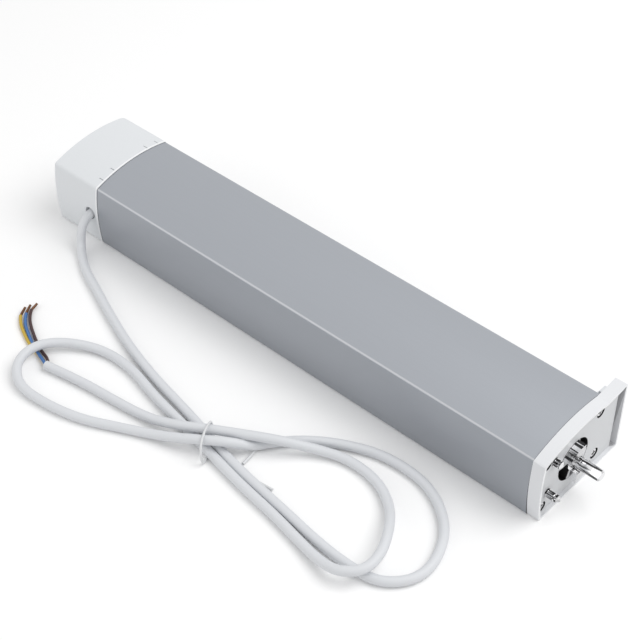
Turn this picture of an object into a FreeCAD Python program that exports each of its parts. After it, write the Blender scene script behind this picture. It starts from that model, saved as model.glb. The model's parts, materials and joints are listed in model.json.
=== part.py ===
import FreeCAD, Part
import math
import os

# Curtain motor, millimetres. X runs along the motor towards the output shaft, Z is up,
# and the origin is under the middle of the body, on the surface that it stands on.

# Overall lengths along X
cap_length = 35.0
body_length = 295.0
flange_thickness = 6.75
shaft_reach = 14.55

# Section of the body, seen from the shaft end
left_foot_y = -32.0
ridge_y = -31.7
ridge_z = 38.0
ridge_strip = 0.9
ridge_slope = 0.4
left_bulge = 1.2
right_y = 21.0
right_top_z = 40.9
crown_z = 43.2
crown_y = -5.5
foot_radius = 1.2
right_radius = 1.2
cap_proud = 0.35
cap_ridge_soft = 0.8
cap_corner_radius = 5.0

# Walls and clearances
extrusion_wall = 1.7
cap_wall = 2.2
socket_gap = 0.3
seat_gap = 0.3
slip_gap = 0.05
press_gap = 0.02

# Mounting flange
flange_left_y = -31.7
flange_left_bulge = 1.7
flange_foot_radius = 1.2
flange_tip_radius = 1.4
flange_corner_y = -32.4
flange_corner_z = 37.8
flange_peak_y = -3.0
flange_peak_z = 43.7
flange_dip_y = 17.2
flange_dip_z = 42.0
flange_right_y = 33.2
flange_right_z = 43.3
flange_rim = 1.3
recess_depth = 1.85
spigot_length = 5.5
spigot_wall = 1.6
trough_width = 3.0
trough_depth = 2.4

# Shaft axis, shared by the motor, the gearbox and the hub
axis_y = -4.85
axis_z = 20.1

# Hub with claws
hub_radius = 11.5
hub_nose_length = 11.0
hub_boss_radius = 5.4
hub_boss_rise = 1.0
hub_boss_bore = 3.6
hub_window_depth = 4.7
hub_window_start = -6.0
hub_window_span = 76.0
claw_rise = 4.4
claw_inner = 6.6
claw_start = 77.0
claw_span = 42.0
key_start = 131.0
key_span = 15.0
cover_radius = 18.0
cover_thickness = 4.0

# Output shaft and its bush
shaft_radius = 3.0
shaft_chamfer = 0.7
shaft_flat_depth = 0.4
shaft_flat_length = 5.4
shaft_neck_radius = 3.3
shaft_flat_turn = 45.0
journal_radius = 4.0
bush_radius = 6.0
bush_length = 6.0
drive_hex = 6.4

# Planetary gears
gear_module = 0.6
sun_teeth = 12
planet_teeth = 18
planet_count = 3
ring_teeth = sun_teeth + 2 * planet_teeth
tooth_backlash = 0.10
tooth_addendum = 0.85
tooth_dedendum = 1.2
pressure_angle = 20.0
planet_width_first = 7.0
planet_width_last = 9.0
planet_pin_radius = 1.5
carrier_radius = 12.6
carrier_thickness = 3.6
gear_gap = 0.4
ring_radius = 18.0
back_plate_thickness = 4.0

# Motor
can_radius = 16.5
can_wall = 1.6
can_length = 58.0
can_boss_radius = 5.0
can_boss_length = 2.5
motor_shaft_radius = 1.6
rotor_radius = 11.6
rotor_slots = 7
rotor_slot_width = 2.2
rotor_length = 34.0
winding_reach = 4.0
magnet_thickness = 2.6
magnet_span = 120.0
magnet_length = 40.0
motor_bush_radius = 3.5
motor_bush_length = 4.0
bell_length = 9.0
commutator_radius = 5.0
commutator_length = 7.0
encoder_radius = 6.0
encoder_thickness = 2.5
encoder_board_radius = 13.0
board_thickness = 1.6
damper_length = 12.0
damper_bore_gap = 0.1
damper_slot = 12.0

# Screws, bosses and studs
screw_radius = 1.6
screw_bore_gap = 0.1
screw_head_radius = 2.8
screw_head_height = 1.9
screw_length = 14.0
counterbore_radius = 3.1
counterbore_depth = 2.3
boss_radius = 3.6
boss_web_half = 1.2
cover_screw_places = ((-27.2, 33.9), (14.55, 36.6), (14.75, 7.9), (-27.65, 5.4))
stud_radius = 1.95
stud_root_radius = 1.6
stud_root_length = 3.0
stud_height = 9.0
stud_groove_radius = 1.35
stud_places = ((-24.65, 13.2), (-21.45, 32.0))

# Release tab behind the flange
tab_travel = 3.0
tab_left_y = 22.3
tab_width = 5.0
tab_thickness = 4.4
tab_top_z = 43.0
tab_stem_thickness = 1.9
tab_shoulder_z = 34.5
tab_bottom_z = 16.0
tab_nose_low_z = 24.0
tab_nose_high_z = 29.5
tab_nose_reach = 3.0
tab_guide_wall = 0.8
tab_guide_floor_z = 3.0
tab_guide_top_z = 33.0
tab_spring_half = 1.7
tab_spring_strip = 0.5
tab_spring_folds = 10
tab_pocket_depth = 4.0
tab_edge_radius = 0.5
tab_grip_grooves = 3
tab_groove_width = 0.6

# Electronics
rail_z = 13.0
rail_reach = 2.4
rail_thickness = 1.2
board_width = 48.4
board_length = 140.0
board_after_joint = 6.65
terminal_offset = 4.0
terminal_length = 9.0
terminal_width = 16.0
terminal_height = 10.0
terminal_poles = 3
choke_offset = 20.5
choke_radius = 8.2
choke_bore = 3.0
choke_thickness = 6.0
transformer_offset = 38.0
transformer_length = 24.0
transformer_width = 22.0
transformer_height = 17.0
transformer_limb = 4.0
capacitor_offset = 74.0
capacitor_length = 22.0
capacitor_radius = 7.0
radio_offset = 108.0
radio_length = 18.0
radio_width = 24.0
radio_card = 0.9
radio_can_height = 2.4
radio_can_inset = 4.0
relay_offset = 108.0
relay_length = 15.0
relay_width = 10.0
relay_height = 15.0
relay_middle_y = 9.0
component_y = -4.5
lead_radius = 0.8
lead_spacing = 12.0
lead_rise = 11.0

# Cord gland in the tail cap
cord_diameter = 5.6
gland_x_behind_joint = 6.1
gland_z = 19.0
gland_hole_radius = 3.7
gland_boss_radius = 6.0
grommet_radius = 4.5
grommet_outer_y = -30.6
grommet_length = 7.0

# Set button and light in the end of the tail cap
button_y = -4.0
button_z = 22.0
button_radius = 2.4
button_travel = 0.8
light_y = 8.0
light_radius = 1.2
switch_board_gap = 7.0

# Places along X that follow from the lengths
total_length = cap_length + body_length + flange_thickness + shaft_reach
tail_x = -total_length / 2
joint_x = tail_x + cap_length
front_x = joint_x + body_length
face_x = front_x + flange_thickness
floor_x = face_x - recess_depth
tip_x = face_x + shaft_reach
cover_front_x = floor_x - hub_nose_length
cover_back_x = cover_front_x - cover_thickness
gland_x = joint_x - gland_x_behind_joint
board_start = joint_x + board_after_joint
cord_radius = cord_diameter / 2

# Route of the cord: centre line points, from the gland round both loops to the bare end
cord_points = [
    (-146.7, -30.6, 19.0), (-146.9, -40.5, 18.0), (-144.8, -48.0, 11.3), (-138.0, -53.0, 4.6),
    (-127.0, -56.7, 2.9), (-112.0, -62.6, 2.9), (-91.0, -71.5, 2.9), (-66.0, -81.0, 2.9),
    (-38.0, -88.5, 2.9), (-12.0, -93.3, 3.4), (8.0, -96.8, 4.1), (26.0, -101.0, 4.1),
    (46.0, -104.5, 4.0), (70.0, -107.3, 3.3), (94.0, -110.3, 2.9), (114.0, -111.5, 2.9),
    (131.0, -111.0, 2.9), (142.0, -99.0, 2.9), (142.0, -82.0, 2.9), (132.5, -63.0, 2.9),
    (110.5, -50.0, 2.9), (83.0, -49.5, 2.9), (62.0, -58.0, 2.9), (46.0, -69.0, 2.9),
    (36.0, -80.5, 2.9), (30.5, -90.0, 4.2), (25.0, -99.5, 10.2), (14.5, -107.5, 10.8),
    (2.0, -112.8, 7.4), (-12.0, -116.5, 3.0), (-28.0, -124.0, 2.9), (-45.0, -132.5, 2.9),
    (-65.0, -137.3, 2.9), (-86.0, -138.7, 3.2), (-99.5, -130.0, 5.2), (-101.0, -116.0, 7.0),
    (-92.0, -102.0, 5.5), (-74.0, -91.3, 2.9), (-52.0, -91.5, 2.9), (-31.0, -97.0, 2.9),
    (-12.0, -100.2, 3.4), (6.0, -103.2, 4.1), (26.0, -107.3, 4.1), (46.0, -110.9, 4.0),
    (68.0, -113.8, 3.3), (89.0, -118.6, 3.2), (104.0, -122.0, 5.3), (116.0, -122.8, 8.8),
    (124.5, -114.0, 10.0), (123.5, -101.0, 9.4), (116.0, -86.5, 4.0), (105.5, -72.5, 2.9),
    (90.0, -64.5, 2.9), (71.0, -63.5, 2.9), (56.0, -70.0, 4.6), (44.0, -78.5, 9.2),
    (32.5, -85.6, 10.4), (19.0, -93.4, 10.8), (6.0, -99.8, 10.8), (-7.0, -105.5, 8.4),
    (-22.0, -110.2, 3.0), (-43.0, -112.8, 2.9), (-66.0, -115.0, 2.9), (-87.5, -119.4, 2.9),
]

# Bare ends of the three cores, each from the cut face of the jacket to its tip
core_radius = 0.95
strand_radius = 0.6
strand_length = 7.0
core_points = {
    "core_brown": [(-104.0, -111.4, 1.1), (-118.6, -104.6, 1.0), (-127.0, -93.4, 1.1)],
    "core_blue": [(-106.0, -114.3, 1.1), (-120.8, -107.0, 1.0), (-129.4, -96.4, 1.1)],
    "core_earth": [(-107.0, -117.2, 1.1), (-123.0, -109.8, 1.0), (-131.6, -99.2, 1.1)],
}
core_turns = {"core_brown": 325.0, "core_blue": 85.0, "core_earth": 205.0}
core_circle = 1.2

# Wire tie round the four strands of the cord
tie_radius = 0.5
tie_centre = (15.0, -102.5)
tie_lean = 38.0
tie_low = -11.5
tie_high = 9.1
tie_top_z = 14.5
tie_corner = 2.5
tie_tails = (
    [(15.0, -102.5, 15.6), (31.0, -99.8, 14.0), (38.0, -92.5, 1.6)],
    [(16.8, -104.9, 15.6), (40.0, -110.5, 12.0), (57.0, -105.0, 7.9)],
)


def vec(x, y, z):
    return FreeCAD.Vector(x, y, z)


def save(name, *solids):
    """Write one node, as a compound where it holds several solids."""
    shape = solids[0] if len(solids) == 1 else Part.makeCompound(list(solids))
    count = len(shape.Solids)
    assert shape.isValid() and count >= 1, name
    shape.exportStep("parts/" + name + ".step")
    print("%-20s %2d solid(s) %10.1f mm3" % (name, count, shape.Volume))
    return shape


def block(x0, x1, y0, y1, z0, z1):
    return Part.makeBox(x1 - x0, y1 - y0, z1 - z0, vec(x0, y0, z0))


def rod_x(x0, x1, radius, y=axis_y, z=axis_z):
    return Part.makeCylinder(radius, x1 - x0, vec(x0, y, z), vec(1, 0, 0))


def ring_x(x0, x1, outer, inner, y=axis_y, z=axis_z):
    return rod_x(x0, x1, outer, y, z).cut(rod_x(x0 - 1, x1 + 1, inner, y, z))


def rod_y(y0, y1, radius, x, z):
    return Part.makeCylinder(radius, y1 - y0, vec(x, y0, z), vec(0, 1, 0))


def rod_z(z0, z1, radius, x, y):
    return Part.makeCylinder(radius, z1 - z0, vec(x, y, z0), vec(0, 0, 1))


def line(a, b):
    return Part.LineSegment(vec(0, *a), vec(0, *b)).toShape()


def arc(a, middle, b):
    return Part.Arc(vec(0, *a), vec(0, *middle), vec(0, *b)).toShape()


def corner(a, tip, b):
    """An arc from a to b that rounds the corner tip."""
    cut = 1 - math.sqrt(0.5)
    middle = [(a[i] + b[i]) / 2 * 2 * cut + tip[i] * (1 - 2 * cut) for i in (0, 1)]
    return arc(a, middle, b)


def prism(edges, x0, x1):
    """Extrude a closed outline, drawn in the YZ plane, from x0 to x1."""
    face = Part.Face(Part.Wire(edges))
    face.translate(vec(x0, 0, 0))
    return face.extrude(vec(x1 - x0, 0, 0))


def body_outline(inset=0.0, soft=0.0):
    """Outline of the body, moved inwards by inset, or outwards where it is negative, but never
    under the surface that the body stands on. A value of soft rounds the ridge over that width."""
    left = left_foot_y + inset
    right = right_y - inset
    low = max(inset, 0.0)
    foot = max(foot_radius - inset, 0.6)
    side = max(right_radius - inset, 0.6)
    strip_low = (ridge_y + inset, ridge_z - ridge_strip - 0.8 * inset - soft)
    strip_high = (ridge_y + ridge_strip + inset + soft, ridge_z - 0.85 * inset + ridge_slope * soft)
    strip_middle = (ridge_y + ridge_strip / 2 + inset, ridge_z - ridge_strip / 2 - 0.825 * inset)
    strip = arc(strip_low, strip_middle, strip_high) if soft else line(strip_low, strip_high)
    left_middle = (left_foot_y - left_bulge + inset, (low + ridge_z) / 2)
    crown = (crown_y, crown_z - inset)
    top_right = (right - side, right_top_z - inset + 0.25 * side)
    right_high = (right, right_top_z - inset - side)
    return [
        line((right - side, low), (left + foot, low)),
        corner((left + foot, low), (left, low), (left, low + foot)),
        arc((left, low + foot), left_middle, strip_low),
        strip,
        arc(strip_high, crown, top_right),
        corner(top_right, (right, right_top_z - inset), right_high),
        line(right_high, (right, low + side)),
        corner((right, low + side), (right, low), (right - side, low)),
    ]


def flange_outline(inset=0.0):
    """Outline of the flange, moved inwards by inset."""
    left = flange_left_y + inset
    right = flange_right_y - inset
    low = inset
    foot = max(flange_foot_radius - inset, 0.8)
    tip = max(flange_tip_radius - inset, 0.7)
    ridge = (flange_corner_y + inset, flange_corner_z - 0.8 * inset)
    ridge_high = (ridge[0] + 0.8, ridge[1] + 0.5)
    left_middle = (flange_left_y - flange_left_bulge + inset, flange_corner_z / 2)
    peak = (flange_peak_y, flange_peak_z - inset)
    dip = (flange_dip_y, flange_dip_z - inset)
    flare = (right - tip, flange_right_z - inset)
    bend = ((dip[0] + flare[0]) / 2, (dip[1] + flare[1]) / 2 - 0.25)
    return [
        line((right - tip, low), (left + foot, low)),
        corner((left + foot, low), (left, low), (left, low + foot)),
        arc((left, low + foot), left_middle, ridge),
        line(ridge, ridge_high),
        arc(ridge_high, peak, dip),
        arc(dip, bend, flare),
        corner(flare, (right, flange_right_z - inset), (right, flange_right_z - inset - tip)),
        line((right, flange_right_z - inset - tip), (right, low + tip)),
        corner((right, low + tip), (right, low), (right - tip, low)),
    ]


def sector(x0, x1, outer, inner, start, span):
    """Part of a ring about the shaft axis, from an angle in degrees over a span."""
    ring = ring_x(x0, x1, outer, inner)
    far = outer * 2
    steps = max(int(span / 60.0) + 1, 1)
    points = [vec(x0 - 1, axis_y, axis_z)]
    for i in range(steps + 1):
        angle = math.radians(start + span * i / steps)
        points.append(vec(x0 - 1, axis_y + far * math.cos(angle), axis_z + far * math.sin(angle)))
    points.append(points[0])
    wedge = Part.Face(Part.makePolygon(points)).extrude(vec(x1 - x0 + 2, 0, 0))
    return ring.common(wedge)


def boss_and_web(x0, x1, y, z, margin=0.0):
    """A screw boss with the web that ties it to the side wall beside it."""
    wall_y = right_y if y > axis_y else left_foot_y - left_bulge
    half = boss_web_half + margin
    web = block(x0, x1, min(y, wall_y), max(y, wall_y), z - half, z + half)
    return rod_x(x0, x1, boss_radius + margin, y, z).fuse(web)


def clear_of_bosses(shape, x0, x1):
    """Cut room for the extrusion's screw bosses and board rails."""
    for y, z in cover_screw_places:
        shape = shape.cut(boss_and_web(x0, x1, y, z, 2 * seat_gap))
    reach = rail_reach + 3 * seat_gap
    low = rail_z - rail_thickness - 2 * seat_gap
    high = rail_z + board_thickness + rail_thickness + 3 * seat_gap
    inner = extrusion_wall
    shape = shape.cut(block(x0, x1, left_foot_y - left_bulge, left_foot_y + inner + reach, low, high))
    return shape.cut(block(x0, x1, right_y - inner - reach, right_y, low, high))


# Aluminium extrusion
def make_extrusion():
    shell = prism(body_outline(), joint_x, front_x)
    core = prism(body_outline(extrusion_wall), joint_x - 1, front_x + 1)
    tube = shell.cut(core)
    inside = prism(body_outline(extrusion_wall / 2), joint_x, front_x)
    for y, z in cover_screw_places:
        tube = tube.fuse(boss_and_web(joint_x, front_x, y, z).common(inside))
    for low in (rail_z - rail_thickness, rail_z + board_thickness + slip_gap * 4):
        bar = block(joint_x, front_x, left_foot_y - left_bulge, right_y, low, low + rail_thickness)
        gap = block(joint_x - 1, front_x + 1, left_foot_y + extrusion_wall + rail_reach,
                    right_y - extrusion_wall - rail_reach, low - 1, low + rail_thickness + 1)
        tube = tube.fuse(bar.cut(gap).common(inside))
    for y, z in cover_screw_places:
        tube = tube.cut(rod_x(joint_x - 1, front_x + 1, screw_radius + screw_bore_gap, y, z))
    return tube.removeSplitter()


# Tail cap with its spigot, snap slits, cord gland, clamp saddle and board posts
clamp_y0 = -21.5
clamp_y1 = -15.5
clamp_half_width = 7.0
clamp_screw_offset = 4.9
clamp_screw_radius = 1.1
slit_places = (-25.7, -17.2, 7.7, 15.7)
slit_width = 0.45
slit_length = 3.2
slit_lip = 0.9
cap_edge_radius = 0.8
switch_board_x = tail_x + cap_wall + switch_board_gap
switch_post_places = ((-13.0, 15.0), (14.0, 15.0), (-13.0, 29.0), (14.0, 29.0))


def plan_corner():
    """What rounds the cap's far corner, seen from above."""
    right = right_y + cap_proud
    outside = block(tail_x - 1, tail_x + cap_corner_radius, right - cap_corner_radius, right + 1, -1, crown_z + 1)
    return outside.cut(rod_z(-2, crown_z + 2, cap_corner_radius, tail_x + cap_corner_radius,
                             right - cap_corner_radius))


def make_tail_cap():
    shell = prism(body_outline(-cap_proud, cap_ridge_soft), tail_x, joint_x)
    back = [edge for edge in shell.Edges if abs(edge.BoundBox.XMax - tail_x) < 0.01]
    shell = shell.makeFillet(cap_edge_radius, back).cut(plan_corner())
    shell = shell.cut(prism(body_outline(cap_wall), tail_x + cap_wall, joint_x + 1))
    inner = extrusion_wall + socket_gap
    spigot = prism(body_outline(inner), joint_x - 3.0, joint_x + spigot_length)
    spigot = spigot.cut(prism(body_outline(inner + spigot_wall), joint_x - 4.0, joint_x + spigot_length + 1))
    spigot = clear_of_bosses(spigot, joint_x - seat_gap, joint_x + spigot_length + 1)
    cap = shell.fuse(spigot)
    gland_base = left_foot_y + 0.45
    cap = cap.fuse(rod_y(gland_base, grommet_outer_y + grommet_length, gland_boss_radius, gland_x, gland_z))
    cap = cap.cut(rod_y(-40, grommet_outer_y + grommet_length + 1, gland_hole_radius, gland_x, gland_z))
    cap = cap.cut(rod_y(grommet_outer_y, grommet_outer_y + grommet_length + 1, grommet_radius + slip_gap,
                        gland_x, gland_z))
    saddle = block(gland_x - clamp_half_width, gland_x + clamp_half_width - 1.4, clamp_y0, clamp_y1,
                   cap_wall / 2, gland_z - seat_gap / 2)
    saddle = saddle.cut(rod_y(clamp_y0 - 1, clamp_y1 + 1, cord_radius + slip_gap, gland_x, gland_z))
    for side in (-1, 1):
        saddle = saddle.cut(rod_z(gland_z - 9, gland_z, clamp_screw_radius + slip_gap,
                                  gland_x + side * clamp_screw_offset, (clamp_y0 + clamp_y1) / 2))
    cap = cap.fuse(saddle)
    for y, z in switch_post_places:
        cap = cap.fuse(rod_x(tail_x + cap_wall / 2, switch_board_x, 2.0, y, z))
    for y in slit_places:
        cap = cap.cut(block(joint_x - slit_lip - slit_length, joint_x - slit_lip, y - slit_width / 2,
                            y + slit_width / 2,
                            ridge_z - 2.5, crown_z + 1))
    cap = cap.cut(rod_x(tail_x - 1, tail_x + cap_wall + 1, button_radius + seat_gap / 2, button_y, button_z))
    cap = cap.cut(rod_x(tail_x - 1, tail_x + cap_wall + 1, light_radius + slip_gap, light_y, button_z))
    return cap.removeSplitter()


# Front flange with its recess, trough, screw holes and the guide of the release tab
guide_x0 = front_x - tab_thickness - 2 * seat_gap - tab_guide_wall
tab_x1 = front_x - seat_gap
tab_x0 = tab_x1 - tab_thickness
tab_right_y = tab_left_y + tab_width


def make_flange():
    plate = prism(flange_outline(), front_x, face_x)
    plate = plate.cut(prism(flange_outline(flange_rim), floor_x, face_x + 1))
    trough_right = flange_right_y - flange_rim
    trough = prism(flange_outline(flange_rim), floor_x - trough_depth, face_x)
    plate = plate.cut(trough.common(block(floor_x - trough_depth, face_x, trough_right - trough_width,
                                          trough_right + 1, 0, flange_right_z)))
    inner = extrusion_wall + socket_gap
    spigot = prism(body_outline(inner), front_x - spigot_length, front_x + 0.5)
    spigot = spigot.cut(prism(body_outline(inner + spigot_wall), front_x - spigot_length - 1, front_x + 1))
    spigot = clear_of_bosses(spigot, front_x - spigot_length - 1, front_x)
    plate = plate.fuse(spigot)
    plate = plate.cut(rod_x(front_x - 1, face_x + 1, hub_radius + seat_gap))
    for y, z in cover_screw_places:
        plate = plate.cut(rod_x(front_x - 1, face_x, screw_radius + 2 * screw_bore_gap, y, z))
        plate = plate.cut(rod_x(floor_x - counterbore_depth, face_x, counterbore_radius, y, z))
    for y, z in stud_places:
        plate = plate.cut(rod_x(floor_x - stud_root_length, face_x, stud_root_radius + press_gap, y, z))
    guide = block(guide_x0, front_x + 0.2, tab_left_y - seat_gap - tab_guide_wall,
                  tab_right_y + seat_gap + tab_guide_wall, tab_guide_floor_z - 1.5, tab_guide_top_z)
    room = block(tab_x0 - seat_gap, front_x, tab_left_y - seat_gap, tab_right_y + seat_gap,
                 tab_guide_floor_z, tab_guide_top_z + 1)
    window = block(tab_x0 - seat_gap, front_x, tab_right_y, tab_right_y + 3,
                   tab_nose_low_z - tab_travel - seat_gap, tab_nose_high_z + seat_gap)
    return plate.fuse(guide.cut(room).cut(window)).removeSplitter()


# Gearbox cover, and the hub whose nose carries two broad claws, two keys and two open windows
def make_gearbox_cover():
    cover = rod_x(cover_back_x, cover_front_x, cover_radius)
    cover = cover.cut(rod_x(cover_back_x - 1, cover_back_x + bush_length + 1, bush_radius + press_gap))
    for place in gearbox_screw_places():
        cover = cover.cut(rod_x(cover_back_x - 1, cover_front_x + 1, gearbox_screw_radius + slip_gap, *place))
    return cover


def make_claw_hub():
    hub = rod_x(cover_front_x, floor_x, hub_radius)
    hub = hub.fuse(rod_x(floor_x - 1, floor_x + hub_boss_rise, hub_boss_radius))
    for turn in (0, 180):
        hub = hub.fuse(sector(floor_x - 1, floor_x + claw_rise, hub_radius, claw_inner,
                              claw_start + turn, claw_span))
        hub = hub.fuse(sector(floor_x - 1, floor_x + claw_rise, hub_radius, claw_inner,
                              key_start + turn, key_span))
        hub = hub.cut(sector(floor_x - hub_window_depth, floor_x + 1, hub_radius + 1, hub_boss_radius,
                             hub_window_start + turn, hub_window_span))
    hub = hub.cut(rod_x(cover_front_x - 1, floor_x + hub_boss_rise + 1, hub_boss_bore))
    hub = hub.cut(rod_x(cover_front_x - 1, cover_back_x + bush_length, bush_radius + press_gap))
    return hub.removeSplitter()


# Gearbox stack, from the output end backwards
gearbox_screw_radius = 0.9
gearbox_screw_circle = 16.5
gearbox_screw_head_radius = 1.6
gearbox_screw_head_height = 1.2
motor_screw_radius = 1.2
motor_screw_offset = 8.5
motor_screw_head_radius = 2.2
motor_screw_head_height = 1.6
gearbox_screw_angles = (45, 135, 225, 315)
ring_length = 30.0
ring_front_x = cover_back_x
ring_back_x = ring_front_x - ring_length
last_carrier_x1 = ring_front_x - gear_gap
last_carrier_x0 = last_carrier_x1 - carrier_thickness
last_planet_x1 = last_carrier_x0 - gear_gap
last_planet_x0 = last_planet_x1 - planet_width_last
first_carrier_x1 = last_planet_x0 - gear_gap
first_carrier_x0 = first_carrier_x1 - carrier_thickness
first_planet_x1 = first_carrier_x0 - gear_gap
first_planet_x0 = first_planet_x1 - planet_width_first
plate_back_x = ring_back_x - back_plate_thickness
gear_centres = gear_module * (sun_teeth + planet_teeth) / 2


def gearbox_screw_places():
    places = []
    for angle in gearbox_screw_angles:
        turn = math.radians(angle)
        places.append((axis_y + gearbox_screw_circle * math.cos(turn),
                       axis_z + gearbox_screw_circle * math.sin(turn)))
    return places


def tooth_half_angle(teeth, radius, thinner):
    """Half the angle that an involute tooth fills at a radius."""
    pitch = gear_module * teeth / 2
    base = pitch * math.cos(math.radians(pressure_angle))
    roll = math.acos(min(base / max(radius, base), 1.0))
    involute = math.tan(roll) - roll
    at_pitch = math.tan(math.radians(pressure_angle)) - math.radians(pressure_angle)
    return math.pi / (2 * teeth) + at_pitch - involute - thinner / pitch


def gear_face(teeth, turn, tip, root, thinner):
    """Outline of a gear: each tooth has straight spans through its involute points."""
    pitch = gear_module * teeth / 2
    base = pitch * math.cos(math.radians(pressure_angle))
    low = max(root, base)
    levels = (low, pitch, tip)
    points = []
    for tooth in range(teeth):
        middle = turn + 2 * math.pi * tooth / teeth
        half = tooth_half_angle(teeth, low, thinner)
        points.append((root, middle - half))
        for radius in levels:
            points.append((radius, middle - tooth_half_angle(teeth, radius, thinner)))
        for radius in reversed(levels):
            points.append((radius, middle + tooth_half_angle(teeth, radius, thinner)))
        points.append((root, middle + half))
    kept = [points[0]]
    for point in points[1:]:
        if abs(point[0] - kept[-1][0]) > 1e-6 or abs(point[1] - kept[-1][1]) > 1e-6:
            kept.append(point)
    return kept


def gear_prism(points, x0, x1, y, z):
    corners = [vec(x0, y + r * math.cos(a), z + r * math.sin(a)) for r, a in points]
    corners.append(corners[0])
    return Part.Face(Part.makePolygon(corners)).extrude(vec(x1 - x0, 0, 0))


def outer_gear(teeth, x0, x1, y, z, turn):
    pitch = gear_module * teeth / 2
    tip = pitch + tooth_addendum * gear_module
    root = pitch - tooth_dedendum * gear_module
    return gear_prism(gear_face(teeth, turn, tip, root, tooth_backlash / 2), x0, x1, y, z)


def ring_space():
    """The inside of the ring gear: a gear with wider teeth, which the ring is cut by."""
    pitch = gear_module * ring_teeth / 2
    tip = pitch + tooth_dedendum * gear_module
    root = pitch - tooth_addendum * gear_module
    points = gear_face(ring_teeth, math.pi / ring_teeth, tip, root, -tooth_backlash / 2)
    return gear_prism(points, ring_back_x - 1, ring_front_x + 1, axis_y, axis_z)


def planet_place(index):
    angle = math.radians(90 + 360.0 * index / planet_count)
    return angle, axis_y + gear_centres * math.cos(angle), axis_z + gear_centres * math.sin(angle)


def make_planet(index, x0, x1):
    angle, y, z = planet_place(index)
    gear = outer_gear(planet_teeth, x0, x1, y, z, angle + math.pi + math.pi / planet_teeth)
    return gear.cut(rod_x(x0 - 1, x1 + 1, planet_pin_radius + slip_gap, y, z))


def make_carrier(x0, x1, pin_x0):
    """A carrier plate with the pins of its planets pressed in, which reach back to pin_x0."""
    plate = rod_x(x0, x1, carrier_radius)
    for i in range(planet_count):
        plate = plate.fuse(rod_x(pin_x0, x1, planet_pin_radius, *planet_place(i)[1:]))
    return plate


def hexagon(x0, x1, across, y=axis_y, z=axis_z):
    radius = across / math.sqrt(3)
    points = [(radius, math.radians(60 * i + 30)) for i in range(6)]
    return gear_prism(points, x0, x1, y, z)


def make_ring_gear():
    ring = rod_x(ring_back_x, ring_front_x, ring_radius)
    ring = ring.cut(ring_space())
    for place in gearbox_screw_places():
        ring = ring.cut(rod_x(ring_back_x - 1, ring_front_x + 1, gearbox_screw_radius + slip_gap, *place))
    return ring


def make_back_plate():
    plate = rod_x(plate_back_x, ring_back_x, ring_radius)
    plate = plate.cut(rod_x(plate_back_x - 1, ring_back_x + 1, can_boss_radius + slip_gap))
    for place in gearbox_screw_places():
        plate = plate.cut(rod_x(plate_back_x + 0.6, ring_back_x + 1, gearbox_screw_radius + slip_gap, *place))
    for side in (-1, 1):
        y = axis_y + side * motor_screw_offset
        plate = plate.cut(rod_x(plate_back_x - 1, ring_back_x + 1, motor_screw_radius + slip_gap, y))
        plate = plate.cut(rod_x(ring_back_x - motor_screw_head_height - slip_gap, ring_back_x + 1,
                                motor_screw_head_radius + slip_gap, y))
    return plate


def make_gearbox_screws():
    screws = []
    for place in gearbox_screw_places():
        stem = rod_x(plate_back_x + 0.8, cover_front_x, gearbox_screw_radius, *place)
        head = rod_x(cover_front_x, cover_front_x + gearbox_screw_head_height, gearbox_screw_head_radius, *place)
        screws.append(stem.fuse(head))
    return screws


def make_motor_screws():
    screws = []
    seat = ring_back_x - motor_screw_head_height
    for side in (-1, 1):
        y = axis_y + side * motor_screw_offset
        stem = rod_x(can_front_x - can_wall, seat, motor_screw_radius, y)
        screws.append(stem.fuse(rod_x(seat, ring_back_x, motor_screw_head_radius, y)))
    return screws


def make_output_shaft():
    neck_end = floor_x + claw_rise + seat_gap
    shaft = hexagon(last_carrier_x0, last_carrier_x1, drive_hex)
    shaft = shaft.fuse(rod_x(last_carrier_x1, cover_back_x + bush_length, journal_radius))
    shaft = shaft.fuse(rod_x(cover_back_x + bush_length - 0.5, neck_end, shaft_neck_radius))
    shaft = shaft.fuse(rod_x(neck_end - 0.5, tip_x, shaft_radius))
    edge = [e for e in shaft.Edges if abs(e.BoundBox.XMin - tip_x) < 0.01]
    shaft = shaft.makeChamfer(shaft_chamfer, edge)
    flat = block(tip_x - shaft_flat_length, tip_x + 1, axis_y - 6, axis_y + 6,
                 axis_z + shaft_radius - shaft_flat_depth, axis_z + 6)
    flat.rotate(vec(0, axis_y, axis_z), vec(1, 0, 0), shaft_flat_turn)
    return shaft.cut(flat)


# Motor, from the gearbox backwards
can_front_x = plate_back_x
can_back_x = can_front_x - can_length
bell_front_x = can_back_x
bell_back_x = bell_front_x - bell_length
rotor_front_x = can_front_x - can_wall - 9.0
rotor_back_x = rotor_front_x - rotor_length
commutator_x1 = bell_front_x + 4.5
commutator_x0 = commutator_x1 - commutator_length
encoder_x1 = bell_back_x - 2.0
encoder_x0 = encoder_x1 - encoder_thickness
encoder_board_x1 = encoder_x0 - 1.2
encoder_board_x0 = encoder_board_x1 - board_thickness
magnet_x1 = (rotor_front_x + rotor_back_x) / 2 + magnet_length / 2
magnet_x0 = magnet_x1 - magnet_length
magnet_outer = can_radius - can_wall - slip_gap
bell_post_circle = 10.8
bell_post_radius = 1.5


def make_can():
    can = rod_x(can_back_x, can_front_x, can_radius)
    can = can.cut(rod_x(can_back_x - 1, can_front_x - can_wall, can_radius - can_wall))
    can = can.fuse(rod_x(can_front_x - can_wall, can_front_x + can_boss_length, can_boss_radius))
    can = can.cut(rod_x(can_front_x - can_wall - 1, can_front_x + can_boss_length + 1,
                        motor_bush_radius + press_gap))
    for side in (-1, 1):
        can = can.cut(rod_x(can_front_x - can_wall - 1, can_front_x + 1, motor_screw_radius + press_gap,
                            axis_y + side * motor_screw_offset))
    return can.removeSplitter()


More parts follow.
